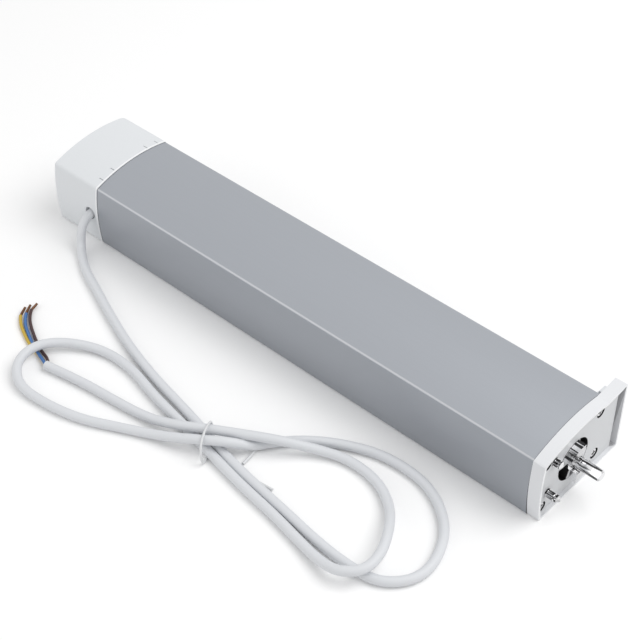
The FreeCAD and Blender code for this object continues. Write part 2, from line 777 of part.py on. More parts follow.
def make_bell():
    bell = rod_x(bell_back_x, bell_front_x, can_radius)
    bell = bell.fuse(rod_x(bell_front_x, bell_front_x + 3, can_radius - can_wall - slip_gap))
    bell = bell.cut(rod_x(bell_back_x + 3, bell_front_x + 4, can_radius - 2 * can_wall))
    bell = bell.fuse(rod_x(bell_back_x, bell_back_x + 5, motor_bush_radius + 2.0))
    bell = bell.cut(rod_x(bell_back_x - 1, bell_front_x, motor_bush_radius + press_gap))
    for side in (-1, 1):
        bell = bell.fuse(rod_x(encoder_board_x1, bell_back_x + 1, bell_post_radius,
                               axis_y + side * bell_post_circle, axis_z))
    return bell.removeSplitter()


def make_rotor_core():
    core = rod_x(rotor_back_x, rotor_front_x, rotor_radius)
    for i in range(rotor_slots):
        slot = block(rotor_back_x - 1, rotor_front_x + 1, axis_y - rotor_slot_width / 2,
                     axis_y + rotor_slot_width / 2, axis_z + rotor_radius * 0.5, axis_z + rotor_radius + 2)
        slot.rotate(vec(0, axis_y, axis_z), vec(1, 0, 0), 360.0 * i / rotor_slots)
        core = core.cut(slot)
    return core.cut(rod_x(rotor_back_x - 1, rotor_front_x + 1, motor_shaft_radius + press_gap))


def make_windings():
    """The two heads of the winding, each a ring with its outer edges turned down."""
    rings = []
    inner = rotor_radius * 0.5 - 1.2
    outer = rotor_radius - 1.4
    for x0 in (rotor_back_x - winding_reach - 0.2, rotor_front_x + 0.2):
        ring = ring_x(x0, x0 + winding_reach, outer, inner)
        edges = [e for e in ring.Edges if abs(e.Length - 2 * math.pi * outer) < 0.1]
        rings.append(ring.makeChamfer(1.2, edges))
    return rings


def make_damper(x0, bore):
    pad = prism(body_outline(extrusion_wall + seat_gap), x0, x0 + damper_length)
    pad = clear_of_bosses(pad, x0 - 1, x0 + damper_length + 1)
    pad = pad.cut(rod_x(x0 - 1, x0 + damper_length + 1, bore + damper_bore_gap))
    pad = pad.cut(block(x0 - 1, x0 + damper_length + 1, axis_y - damper_slot / 2, axis_y + damper_slot / 2,
                        -1, axis_z - bore / 2))
    return pad.removeSplitter()


# Straight runs joined by tangent arcs, and round tubes along them
arc_share = 0.45
tube_sides = 10


def unit(vector):
    return vector * (1.0 / vector.Length)


def tube_path(points, report=""):
    """A wire through the points, with the largest tangent arc that each corner allows."""
    places = [vec(*p) for p in points]
    edges = []
    radii = []
    start = places[0]
    for before, here, after in zip(places, places[1:], places[2:]):
        back = before - here
        forward = after - here
        trim = arc_share * min(back.Length, forward.Length)
        back_way = unit(back)
        forward_way = unit(forward)
        bisector = unit(back_way + forward_way)
        half = math.acos(max(-1.0, min(1.0, back_way.dot(bisector))))
        radius = trim * math.tan(half)
        radii.append(radius)
        centre = here + bisector * (trim / math.cos(half))
        first = here + back_way * trim
        last = here + forward_way * trim
        middle = centre - bisector * radius
        edges.append(Part.LineSegment(start, first).toShape())
        edges.append(Part.Arc(first, middle, last).toShape())
        start = last
    edges.append(Part.LineSegment(start, places[-1]).toShape())
    if report:
        text = ["%.0f" % r for r in radii]
        print(report, "arc radii in mm:", " ".join(text), "smallest %.1f" % min(radii))
    return Part.Wire(edges)


def section_ring(centre, way, radius):
    """A regular polygon across the start of a tube."""
    side = unit(way.cross(vec(0, 0, 1))) if abs(way.z) < 0.9 else vec(0, 1, 0)
    over = unit(side.cross(way))
    corners = []
    for i in range(tube_sides + 1):
        turn = 2 * math.pi * (i + 0.5) / tube_sides
        corners.append(centre + side * (radius * math.cos(turn)) + over * (radius * math.sin(turn)))
    return Part.makePolygon(corners)


def make_tube(points, radius, report=""):
    path = tube_path(points, report)
    way = unit(vec(*points[1]) - vec(*points[0]))
    ring = section_ring(vec(*points[0]), way, radius)
    tube = path.makePipeShell([ring], True, False)
    expected = tube_sides / 2 * math.sin(2 * math.pi / tube_sides) * radius ** 2 * path.Length
    if report:
        print(report, "length %.1f mm, volume %.1f against %.1f mm3" % (path.Length, tube.Volume, expected))
        print(report, "least gap to itself %.2f mm" % least_gap(path, radius))
    assert abs(tube.Volume / expected - 1) < 0.01, "tube volume"
    return tube


def least_gap(path, radius):
    """Least distance between the walls of two stretches of one tube, on points 2 mm apart."""
    count = int(path.Length / 2.0)
    points = path.discretize(Number=count)
    apart = int(6 * radius / 2.0) + 3
    least = 1e9
    for i, a in enumerate(points):
        for b in points[i + apart:]:
            least = min(least, a.distanceToPoint(b))
    return least - 2 * radius


def make_tie():
    """A rounded rectangle of wire that stands round the strands, and its two tails."""
    floor_z = tie_radius + 0.05
    corners = [(tie_low, floor_z), (tie_high, floor_z), (tie_high, tie_top_z), (tie_low, tie_top_z)]
    bends = []
    for i in range(4):
        here = vec(0, *corners[i])
        back = unit(vec(0, *corners[i - 1]) - here)
        forward = unit(vec(0, *corners[(i + 1) % 4]) - here)
        middle = here + (back + forward) * tie_corner * (1 - math.sqrt(0.5))
        bends.append((here + back * tie_corner, middle, here + forward * tie_corner))
    edges = []
    for i in range(4):
        edges.append(Part.Arc(*bends[i]).toShape())
        edges.append(Part.LineSegment(bends[i][2], bends[(i + 1) % 4][0]).toShape())
    path = Part.Wire(edges)
    ring = section_ring(bends[0][0], unit(bends[0][0] - bends[3][2]), tie_radius)
    loop = path.makePipeShell([ring], True, False)
    loop.rotate(vec(0, 0, 0), vec(0, 0, 1), tie_lean + 180)
    loop.translate(vec(tie_centre[0], tie_centre[1], 0))
    return [loop] + [make_tube(points, tie_radius) for points in tie_tails]


def make_core(name):
    """A core from the cut jacket to its bare strands; returns the core and the strands."""
    end = vec(*cord_points[-1])
    way = unit(end - vec(*cord_points[-2]))
    side = unit(way.cross(vec(0, 0, 1)))
    turn = math.radians(core_turns[name])
    offset = side * (core_circle * math.cos(turn)) + vec(0, 0, core_circle * math.sin(turn))
    first = end + way * 0.05 + offset
    second = end + way * 6.0 + offset * 1.1
    points = [(p.x, p.y, p.z) for p in (first, second)] + core_points[name]
    core = make_tube(points, core_radius)
    tip = vec(*points[-1])
    last_way = unit(tip - vec(*points[-2]))
    return core, Part.makeCylinder(strand_radius, strand_length, tip + last_way * 0.01, last_way)


# Screws, studs and springs
def make_screw_x(x_seat, y, z):
    head = rod_x(x_seat, x_seat + screw_head_height, screw_head_radius, y, z)
    rim = [e for e in head.Edges if abs(e.BoundBox.XMin - x_seat - screw_head_height) < 0.01]
    head = head.makeChamfer(0.6, rim)
    slot_long = 1.7
    slot_wide = 0.35
    for wide, high in ((slot_long, slot_wide), (slot_wide, slot_long)):
        head = head.cut(block(x_seat + 0.7, x_seat + 3, y - wide, y + wide, z - high, z + high))
    return head.fuse(rod_x(x_seat - screw_length, x_seat, screw_radius, y, z))


def make_stud(y, z):
    profile = [
        (-stud_root_length, 0.0), (-stud_root_length, stud_root_radius), (0.0, stud_root_radius),
        (0.0, stud_radius + 0.45), (0.9, stud_radius + 0.45), (0.9, stud_radius),
        (4.9, stud_radius), (4.9, stud_groove_radius), (5.9, stud_groove_radius), (5.9, stud_radius),
        (7.2, stud_radius), (stud_height, 0.5), (stud_height, 0.0),
    ]
    points = [vec(floor_x + along, y, z + radius) for along, radius in profile]
    points.append(points[0])
    face = Part.Face(Part.makePolygon(points))
    return face.revolve(vec(0, y, z), vec(1, 0, 0), 360)


def make_spring(y, x0, x1, z0, z1):
    """A strip folded to and fro: a slab with slots cut from one side and the other in turn."""
    spring = block(x0, x1, y - tab_spring_half, y + tab_spring_half, z0, z1)
    slot = (z1 - z0 - tab_spring_strip) / tab_spring_folds - tab_spring_strip
    for i in range(tab_spring_folds):
        low = z0 + tab_spring_strip + i * (slot + tab_spring_strip)
        shift = tab_spring_strip * (1 if i % 2 else -1)
        spring = spring.cut(block(x0 - 1, x1 + 1, y - tab_spring_half + shift, y + tab_spring_half + shift,
                                  low, low + slot))
    return spring


def make_release_tab():
    body = block(tab_x0, tab_x1, tab_left_y, tab_right_y, tab_bottom_z, tab_shoulder_z)
    stem_x0 = tab_x1 - tab_stem_thickness
    stem = block(stem_x0, tab_x1, tab_left_y, tab_right_y, tab_shoulder_z - 1, tab_top_z)
    top = [e for e in stem.Edges if e.BoundBox.ZMin > tab_top_z - 0.01]
    body = body.fuse(stem.makeFillet(tab_edge_radius, top))
    nose = block(tab_x0 + 0.4, tab_x1 - 0.4, tab_right_y - 1, tab_right_y + tab_nose_reach,
                 tab_nose_low_z, tab_nose_high_z)
    edge = [e for e in nose.Edges if e.BoundBox.ZMin > tab_nose_high_z - 0.01
            and e.BoundBox.YMin > tab_right_y + tab_nose_reach - 0.01]
    nose = nose.makeChamfer(2.4, edge)
    middle_y = (tab_left_y + tab_right_y) / 2
    pocket_half = tab_spring_half + seat_gap
    pocket = block(tab_x0 + 1 - seat_gap, tab_x1 - 1 + seat_gap, middle_y - pocket_half, middle_y + pocket_half,
                   tab_bottom_z - 1, tab_bottom_z + tab_pocket_depth)
    tab = body.fuse(nose).cut(pocket)
    for i in range(tab_grip_grooves):
        z = tab_top_z - 2 - 2 * tab_groove_width * i
        tab = tab.cut(block(stem_x0 - 1, stem_x0 + tab_groove_width / 2, tab_left_y + tab_groove_width,
                            tab_right_y - tab_groove_width, z, z + tab_groove_width))
    return tab.removeSplitter()


# Electronics
board_end = board_start + board_length
board_middle = (left_foot_y + right_y) / 2
board_top = rail_z + board_thickness + slip_gap
terminal_x = board_start + terminal_offset


def make_board():
    return block(board_start, board_end, board_middle - board_width / 2, board_middle + board_width / 2,
                 rail_z + slip_gap, board_top)


def on_board(offset, length, width, height, middle=component_y):
    x0 = board_start + offset
    return block(x0, x0 + length, middle - width / 2, middle + width / 2, board_top, board_top + height)


def make_terminal_block():
    base = on_board(terminal_offset, terminal_length, terminal_width, terminal_height)
    pitch = terminal_width / terminal_poles
    screw = pitch * 0.32
    for i in range(terminal_poles):
        y = component_y + pitch * (i - (terminal_poles - 1) / 2)
        base = base.cut(rod_z(board_top + terminal_height * 0.7, board_top + terminal_height + 1, screw,
                              terminal_x + terminal_length / 2, y))
        base = base.cut(block(terminal_x - 1, terminal_x + terminal_length * 0.4, y - screw, y + screw,
                              board_top + terminal_height * 0.15, board_top + terminal_height * 0.55))
    return base


def make_transformer():
    frame = on_board(transformer_offset, transformer_length, transformer_width, transformer_height)
    x0 = board_start + transformer_offset
    half = transformer_width / 2 - transformer_limb
    low = board_top + transformer_limb
    high = board_top + transformer_height - transformer_limb
    window = block(x0 - 1, x0 + transformer_length + 1, component_y - half, component_y + half, low, high)
    bobbin = block(x0 + 3, x0 + transformer_length - 3, component_y - half + press_gap,
                   component_y + half - press_gap, low + press_gap, high - press_gap)
    return [frame.cut(window), bobbin]


def make_capacitor():
    x0 = board_start + capacitor_offset
    z = board_top + capacitor_radius
    body = rod_x(x0, x0 + capacitor_length, capacitor_radius, component_y, z)
    groove_x = x0 + capacitor_length * 0.84
    return body.cut(ring_x(groove_x, groove_x + 1.2, capacitor_radius + 1, capacitor_radius - 0.4, component_y, z))


def make_choke():
    x0 = board_start + choke_offset
    z = board_top + choke_radius
    ring = ring_x(x0, x0 + choke_thickness, choke_radius, choke_bore, component_y, z)
    foot = on_board(choke_offset, choke_thickness, choke_radius * 1.4, choke_radius * 0.35)
    return ring.fuse(foot)


def make_radio():
    middle = component_y - radio_width * 0.4
    card = on_board(radio_offset, radio_length, radio_width, radio_card, middle)
    x0 = board_start + radio_offset
    half = radio_width / 2 - radio_can_inset
    can = block(x0 + radio_can_inset, x0 + radio_length - radio_can_inset / 2, middle - half, middle + half,
                board_top + radio_card, board_top + radio_card + radio_can_height)
    return card.fuse(can)


def make_relay():
    body = on_board(relay_offset, relay_length, relay_width, relay_height, relay_middle_y)
    top = [e for e in body.Edges if e.BoundBox.ZMin > board_top + relay_height - 0.1]
    return body.makeChamfer(0.6, top)


def make_leads():
    """Two leads from the board's end up to the encoder board behind the motor."""
    start_x = board_end - 2 * lead_radius - 3
    end_x = encoder_board_x0 - lead_radius - seat_gap
    leads = []
    for side in (-1, 1):
        y = axis_y + side * lead_spacing / 2
        leads.append(make_tube([(start_x, y, board_top + press_gap), (start_x, y, board_top + lead_rise),
                                (end_x, y, board_top + lead_rise)], lead_radius))
    return leads


def make_inner_lead():
    """The cord's inner stretch, from the grommet through the clamp to the terminal block."""
    end_z = board_top + terminal_height / 2
    return make_tube([(gland_x, grommet_outer_y + 0.4, gland_z), (gland_x, -8.0, gland_z),
                      (terminal_x - seat_gap - 0.6, component_y, end_z)], cord_radius)


def main():
    os.makedirs("parts", exist_ok=True)
    print("body", round(total_length, 2), "mm long, shaft axis at", axis_y, axis_z)
    save("body_extrusion", make_extrusion())
    save("tail_cap", make_tail_cap())
    save("front_flange", make_flange())
    seat_x = floor_x - counterbore_depth
    save("flange_screws", *[make_screw_x(seat_x, y, z) for y, z in cover_screw_places])
    save("locating_studs", *[make_stud(y, z) for y, z in stud_places])
    save("gearbox_cover", make_gearbox_cover())
    save("claw_hub", make_claw_hub())
    save("output_bush", ring_x(cover_back_x + slip_gap, cover_back_x + bush_length - slip_gap,
                               bush_radius, journal_radius + 0.04))
    save("ring_gear", make_ring_gear())
    save("gearbox_back_plate", make_back_plate())
    save("gearbox_screws", *make_gearbox_screws())
    save("motor_screws", *make_motor_screws())
    save("output_shaft", make_output_shaft())
    last_carrier = make_carrier(last_carrier_x0, last_carrier_x1, last_planet_x0)
    drive_hole = hexagon(last_carrier_x0 - 1, last_carrier_x1 + 1, drive_hex + 2 * press_gap)
    save("output_carrier", last_carrier.cut(drive_hole).removeSplitter())
    sun_turn = math.pi / 2
    first_carrier = make_carrier(first_carrier_x0, first_carrier_x1, first_planet_x0)
    sun = outer_gear(sun_teeth, first_carrier_x1 - 0.5, last_planet_x1 - seat_gap, axis_y, axis_z, sun_turn)
    save("first_carrier", first_carrier.fuse(sun).removeSplitter())
    for i in range(planet_count):
        letter = "abc"[i]
        save("output_planet_" + letter, make_planet(i, last_planet_x0, last_planet_x1))
        save("first_planet_" + letter, make_planet(i, first_planet_x0, first_planet_x1))
    pinion = outer_gear(sun_teeth, first_planet_x0 - 0.5, first_planet_x1 - seat_gap, axis_y, axis_z, sun_turn)
    shaft_bore = rod_x(first_planet_x0 - 2, first_planet_x1, motor_shaft_radius + press_gap)
    save("motor_pinion", pinion.cut(shaft_bore))
    save("rotor_shaft", rod_x(encoder_x0 + 0.4, first_planet_x1 - seat_gap, motor_shaft_radius))
    save("rotor_core", make_rotor_core())
    save("rotor_windings", *make_windings())
    save("commutator", ring_x(commutator_x0, commutator_x1, commutator_radius, motor_shaft_radius + press_gap))
    save("encoder_magnet", ring_x(encoder_x0, encoder_x1, encoder_radius, motor_shaft_radius + press_gap))
    save("motor_can", make_can())
    magnets = [sector(magnet_x0, magnet_x1, magnet_outer, magnet_outer - magnet_thickness,
                      turn - magnet_span / 2, magnet_span) for turn in (0, 180)]
    save("field_magnets", *magnets)
    save("motor_end_bell", make_bell())
    front_bush_x1 = can_front_x + can_boss_length - 0.3
    bush_places = ((front_bush_x1 - motor_bush_length, front_bush_x1),
                   (bell_back_x + 0.3, bell_back_x + 0.3 + motor_bush_length))
    save("motor_bushes", *[ring_x(x0, x1, motor_bush_radius, motor_shaft_radius + 0.04) for x0, x1 in bush_places])
    brushes = []
    for side in (-1, 1):
        inner = axis_z + side * (commutator_radius + 0.05)
        outer = axis_z + side * (can_radius - 2 * can_wall - seat_gap)
        brushes.append(block(commutator_x0 + 1, commutator_x0 + 5, axis_y - 1.5, axis_y + 1.5,
                             min(inner, outer), max(inner, outer)))
    save("carbon_brushes", *brushes)
    encoder_board = rod_x(encoder_board_x0, encoder_board_x1, encoder_board_radius)
    save("encoder_board", encoder_board)
    save("front_damper", make_damper(ring_back_x + 8.0, ring_radius))
    save("rear_damper", make_damper(can_back_x + 8.0, can_radius))
    save("power_board", make_board())
    save("terminal_block", make_terminal_block())
    save("filter_choke", make_choke())
    save("transformer", *make_transformer())
    save("bulk_capacitor", make_capacitor())
    save("radio_module", make_radio())
    save("relay", make_relay())
    save("motor_leads", *make_leads())
    grommet = rod_y(grommet_outer_y, grommet_outer_y + grommet_length, grommet_radius, gland_x, gland_z)
    save("cord_grommet", grommet.cut(rod_y(-40, 0, cord_radius + slip_gap, gland_x, gland_z)))
    save("inner_lead", make_inner_lead())
    clamp = block(gland_x - clamp_half_width, gland_x + clamp_half_width - 1.4, clamp_y0, clamp_y1,
                  gland_z + seat_gap / 2, gland_z + 5.0)
    clamp = clamp.cut(rod_y(clamp_y0 - 1, clamp_y1 + 1, cord_radius + slip_gap, gland_x, gland_z))
    clamp_middle = (clamp_y0 + clamp_y1) / 2
    screws = []
    for side in (-1, 1):
        x = gland_x + side * clamp_screw_offset
        clamp = clamp.cut(rod_z(gland_z - 1, gland_z + 6, clamp_screw_radius + slip_gap, x, clamp_middle))
        screws.append(rod_z(gland_z - 8, gland_z + 5.0, clamp_screw_radius, x, clamp_middle).fuse(
            rod_z(gland_z + 5.0, gland_z + 6.4, 1.9, x, clamp_middle)))
    save("cord_clamp", clamp)
    save("clamp_screws", *screws)
    button = rod_x(tail_x, tail_x + cap_wall + 1.2, button_radius, button_y, button_z)
    button = button.fuse(rod_x(tail_x + cap_wall + 0.2, tail_x + cap_wall + 1.2, button_radius + 1.0,
                               button_y, button_z))
    save("set_button", button.removeSplitter())
    switch = block(tail_x + cap_wall + 1.2 + button_travel + 0.2, switch_board_x, button_y - 3, button_y + 3,
                   button_z - 3, button_z + 3)
    save("button_switch", switch)
    board = block(switch_board_x, switch_board_x + board_thickness, -17.0, 16.5, 11.0, 33.0)
    save("switch_board", board)
    save("light_pipe", rod_x(tail_x, switch_board_x - 0.2, light_radius, light_y, button_z))
    save("release_tab", make_release_tab())
    save("release_spring", make_spring((tab_left_y + tab_right_y) / 2, tab_x0 + 1, tab_x1 - 1,
                                       tab_guide_floor_z, tab_bottom_z + tab_pocket_depth - 0.05))
    save("power_cord", make_tube(cord_points, cord_radius, "power cord"))
    strands = []
    for name in core_points:
        core, strand = make_core(name)
        save(name, core)
        strands.append(strand)
    save("core_strands", *strands)
    save("cord_tie", *make_tie())


main()
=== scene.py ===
# %% [markdown]
# The motor's solids come from the imported CAD model, and they stay where they are.
# Loading them first gives every later step the same frame: metres, +X along the motor towards
# its shaft, +Z up, and the floor at z = 0. The box of the bare solids is measured and printed.
# The dressed motor has to stay inside it.

# %% Load the motor
import json
import math

import bmesh
import bpy
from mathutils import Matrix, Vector


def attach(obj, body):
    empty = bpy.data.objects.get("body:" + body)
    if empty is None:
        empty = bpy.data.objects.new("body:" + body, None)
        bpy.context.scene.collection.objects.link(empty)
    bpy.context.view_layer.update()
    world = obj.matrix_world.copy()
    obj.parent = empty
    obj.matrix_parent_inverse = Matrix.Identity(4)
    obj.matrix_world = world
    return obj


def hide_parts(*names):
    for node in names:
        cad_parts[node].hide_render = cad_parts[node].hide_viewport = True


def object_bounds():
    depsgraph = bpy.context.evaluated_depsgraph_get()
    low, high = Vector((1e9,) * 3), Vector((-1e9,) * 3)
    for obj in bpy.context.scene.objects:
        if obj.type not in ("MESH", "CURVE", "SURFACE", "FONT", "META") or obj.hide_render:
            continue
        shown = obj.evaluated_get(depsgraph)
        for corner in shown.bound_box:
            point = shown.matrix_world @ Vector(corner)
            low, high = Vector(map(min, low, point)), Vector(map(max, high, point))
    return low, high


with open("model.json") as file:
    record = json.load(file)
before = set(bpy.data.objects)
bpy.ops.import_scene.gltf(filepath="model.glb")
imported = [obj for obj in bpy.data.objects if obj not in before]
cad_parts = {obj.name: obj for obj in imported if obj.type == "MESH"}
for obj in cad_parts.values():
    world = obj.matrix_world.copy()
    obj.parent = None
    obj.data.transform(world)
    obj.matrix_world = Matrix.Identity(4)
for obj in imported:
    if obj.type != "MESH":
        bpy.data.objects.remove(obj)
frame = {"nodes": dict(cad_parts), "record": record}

mm_per_metre = 1000
nodes = frame["nodes"]
cad_low, cad_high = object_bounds()
cad_size = [round(mm_per_metre * side) for side in cad_high - cad_low]
print("loaded", len(nodes), "solids, box in mm:", cad_size)

# %% [markdown]
# Later steps need to know where the body ends and where the shaft's middle is. These places are
# read from the boxes of the solids, so no number is written twice. A box is found by looking
# for the least and the greatest coordinate of a mesh along each axis.

# %% Boxes of the solids
axes = range(3)


def box_of(node):
    """The low and the high corner of a solid's box."""
    places = [corner.co for corner in nodes[node].data.vertices]
    low = Vector([min(place[axis] for place in places) for axis in axes])
    high = Vector([max(place[axis] for place in places) for axis in axes])
    return low, high


body_low, body_high = box_of("body_extrusion")
flange_front_x = box_of("front_flange")[1].x
hub_low, hub_high = box_of("claw_hub")
shaft_middle = (hub_low + hub_high) / 2
print("body from", round(body_low.x, 4), "to", round(body_high.x, 4), "m along X")
print("shaft at y", round(shaft_middle.y, 5), "and z", round(shaft_middle.z, 5))

# %% [markdown]
# The photograph looks down on the motor from its left and front with a long lens. A long lens
# far away keeps the edges of the long body almost parallel. The camera is placed by an angle
# round the object, an angle above the floor and a distance, and it aims at one point.

# %% Camera
view_azimuth = math.radians(41.98)
view_elevation = math.radians(43.25)
view_distance = 0.8249
view_target = Vector((-0.00707, 0.00233, 0.0))
focal_length = 87.0
sensor_width = 36.0

towards_camera = Vector((
    math.sin(view_azimuth) * math.cos(view_elevation),
    -math.cos(view_azimuth) * math.cos(view_elevation),
    math.sin(view_elevation),
))
camera_data = bpy.data.cameras.new("camera")
camera_data.lens = focal_length
camera_data.sensor_width = sensor_width
camera = bpy.data.objects.new("camera", camera_data)
camera.location = view_target + view_distance * towards_camera
camera.rotation_mode = "QUATERNION"
camera.rotation_quaternion = (-towards_camera).to_track_quat("-Z", "Y")
bpy.context.scene.collection.objects.link(camera)
bpy.context.scene.camera = camera
bpy.context.scene.view_settings.view_transform = "Standard"
print("camera stands at", [round(v, 3) for v in camera.location])

# %% [markdown]
# A product photograph on white is taken on a pale sheet. Its material is pure white to the
# camera and a little darker to all other rays. So the empty floor looks white, and the shadows
# on it still show.

# %% Floor
floor_reach = 4.0
floor_to_light = (0.90, 0.90, 0.90, 1.0)
plain_white = (1.0, 1.0, 1.0, 1.0)


def make_floor():
    """A flat square that reaches floor_reach from its middle to each side."""
    mesh = bpy.data.meshes.new("floor")
    shape = bmesh.new()
    bmesh.ops.create_grid(shape, x_segments=1, y_segments=1, size=floor_reach)
    shape.to_mesh(mesh)
    shape.free()
    floor = bpy.data.objects.new("floor", mesh)
    bpy.context.scene.collection.objects.link(floor)
    return floor


def floor_material():
    """White to the camera, and a little darker to the light that falls on it."""
    material = bpy.data.materials.new("white floor")
    material.use_nodes = True
    tree = material.node_tree
    tree.nodes.clear()
    output = tree.nodes.new("ShaderNodeOutputMaterial")
    diffuse = tree.nodes.new("ShaderNodeBsdfDiffuse")
    rays = tree.nodes.new("ShaderNodeLightPath")
    shade = tree.nodes.new("ShaderNodeMix")
    shade.data_type = "RGBA"
    shade.inputs["A"].default_value = floor_to_light
    shade.inputs["B"].default_value = plain_white
    tree.links.new(rays.outputs["Is Camera Ray"], shade.inputs["Factor"])
    tree.links.new(shade.outputs["Result"], diffuse.inputs["Color"])
    tree.links.new(diffuse.outputs["BSDF"], output.inputs["Surface"])
    return material


floor = make_floor()
floor.data.materials.append(floor_material())
print("floor reaches", floor_reach, "m to each side")

# %% [markdown]
# The world is the light from all round that a white studio gives. Where it is seen, straight
# on, in a reflection or through clear plastic, it is plain white. As a light it is weaker, so
# that the lamps give the shadows their direction. A light path node tells these rays apart, and
# a chain of maximum nodes joins the three kinds that see the world.

# %% World
fill_strength = 0.65
seen_strength = 1.0
seeing_rays = ["Is Camera Ray", "Is Glossy Ray", "Is Transmission Ray"]


def make_world():
    """A white world: plain white where it is seen, and weaker as a light."""
    world = bpy.data.worlds.new("studio")
    world.use_nodes = True
    tree = world.node_tree
    tree.nodes.clear()
    output = tree.nodes.new("ShaderNodeOutputWorld")
    background = tree.nodes.new("ShaderNodeBackground")
    background.inputs["Color"].default_value = plain_white
    rays = tree.nodes.new("ShaderNodeLightPath")
    seen = rays.outputs[seeing_rays[0]]
    for kind in seeing_rays[1:]:
        either = tree.nodes.new("ShaderNodeMath")
        either.operation = "MAXIMUM"
        tree.links.new(seen, either.inputs[0])
        tree.links.new(rays.outputs[kind], either.inputs[1])
        seen = either.outputs["Value"]
    strength = tree.nodes.new("ShaderNodeMix")
    strength.data_type = "FLOAT"
    strength.inputs["A"].default_value = fill_strength
    strength.inputs["B"].default_value = seen_strength
    tree.links.new(seen, strength.inputs["Factor"])
    tree.links.new(strength.outputs["Result"], background.inputs["Strength"])
    tree.links.new(background.outputs["Background"], output.inputs["Surface"])
    bpy.context.scene.world = world


make_world()
print("world gives a fill light of", fill_strength)

# %% [markdown]
# Two square lamps aim at the middle of the scene. The strong one hangs high on the right and
# gives the soft shadows their direction. The weak one stands low on the left and lifts the left
# side of the body. Area lamps are used because a broad lamp softens the edges of a shadow, as a
# softbox does in a studio.

# %% Lamps
lamp_side = 1.1
lamps = {
    "softbox": {"place": Vector((0.60, 0.50, 1.22)), "power": 10.7},
    "side light": {"place": Vector((-0.55, -0.95, 0.36)), "power": 2.15},
}


def make_lamp(name, place, power):
    """A square lamp that stands at a place and aims at the origin."""
    data = bpy.data.lights.new(name, "AREA")
    data.shape = "SQUARE"
    data.size = lamp_side
    data.energy = power
    lamp = bpy.data.objects.new(name, data)
    lamp.location = place
    lamp.rotation_mode = "QUATERNION"
    lamp.rotation_quaternion = (-place).to_track_quat("-Z", "Y")
    bpy.context.scene.collection.objects.link(lamp)


for name, lamp in lamps.items():
    make_lamp(name, lamp["place"], lamp["power"])
    print(name, "gives", lamp["power"], "W")

# %% [markdown]
# Real plastic and metal are never one flat tone. Every finish here starts from one principled
# shader and a noise that will vary its colour. The noise is read in object coordinates, so it
# stays on the piece when the piece moves. A mapping node stretches it where the surface has
# a direction, such as the lines of an extruded body.

# %% The start of a finish
def tone(colour, factor):
    """A colour made brighter or darker by a factor."""
    return (colour[0] * factor, colour[1] * factor, colour[2] * factor, 1.0)


def noisy(name, roughness, metallic, stretch, cells, detail):
    """Start a finish: its shader, and a noise with cells per metre, stretched along each axis."""
    material = bpy.data.materials.new(name)
    material.use_nodes = True
    tree = material.node_tree
    shader = tree.nodes["Principled BSDF"]
    shader.inputs["Roughness"].default_value = roughness
    shader.inputs["Metallic"].default_value = metallic
    place = tree.nodes.new("ShaderNodeTexCoord")
    mapping = tree.nodes.new("ShaderNodeMapping")
    mapping.inputs["Scale"].default_value = stretch
    noise = tree.nodes.new("ShaderNodeTexNoise")
    noise.inputs["Scale"].default_value = cells
    noise.inputs["Detail"].default_value = detail
    tree.links.new(place.outputs["Object"], mapping.inputs["Vector"])
    tree.links.new(mapping.outputs["Vector"], noise.inputs["Vector"])
    return material, shader, place, noise


def mixed(tree, factor, second):
    """A mix towards a second colour by a factor. Its first colour is still open."""
    mix = tree.nodes.new("ShaderNodeMix")
    mix.data_type = "RGBA"
    mix.inputs["B"].default_value = second
    tree.links.new(factor, mix.inputs["Factor"])
    return mix


print("a middle grey made a tenth darker:", tone((0.5, 0.5, 0.5), 0.9))

# %% [markdown]
# Plastic, rubber, paint and satin metal get the plain finish. It mixes its colour from two near
# tones by the noise and takes a little bump from the same noise. Colour and bump that come from
# one noise belong together, as the grain of a real surface does.

# %% A finish with grain
grain_default = 900.0
grain_detail = 3.0
bump_depth = 0.0002
even = (1.0, 1.0, 1.0)


def grained(name, colour, roughness, metallic=0.0, spread=0.04, grain=grain_default,
            stretch=even, bump=0.05):
    """A finish whose colour varies by spread, with grain cells per metre."""
    material, shader, place, noise = noisy(name, roughness, metallic, stretch, grain, grain_detail)
    tree = material.node_tree
    mix = mixed(tree, noise.outputs["Fac"], tone(colour, 1.0 + spread))
    mix.inputs["A"].default_value = tone(colour, 1.0 - spread)
    relief = tree.nodes.new("ShaderNodeBump")
    relief.inputs["Strength"].default_value = bump
    relief.inputs["Distance"].default_value = bump_depth
    tree.links.new(noise.outputs["Fac"], relief.inputs["Height"])
    tree.links.new(mix.outputs["Result"], shader.inputs["Base Color"])
    tree.links.new(relief.outputs["Normal"], shader.inputs["Normal"])
    return material


print("plain finishes have", grain_default, "grain cells a metre")

# %% [markdown]
# The shaft, the hub and the screws are steel, turned on a lathe and plated. Plating mirrors the
# room: the front faces look evenly bright, and the round flanks show bright and dark streaks
# that run along the motor. A white world has nothing dark to mirror, so these reflections are
# painted into the colour: painted streaks on the flanks and a painted tone on the front faces.
# A colour ramp with a narrow step cuts a stretched noise into streaks, and the direction of a
# face tells a front face from a flank.

# %% Plated steel with painted reflections
streak_detail = 2.0
noise_low = 0.30
noise_span = 0.30
step_width = 0.08
reflection_dark_tone = 0.06
flank_until = 0.5
front_from = 0.8


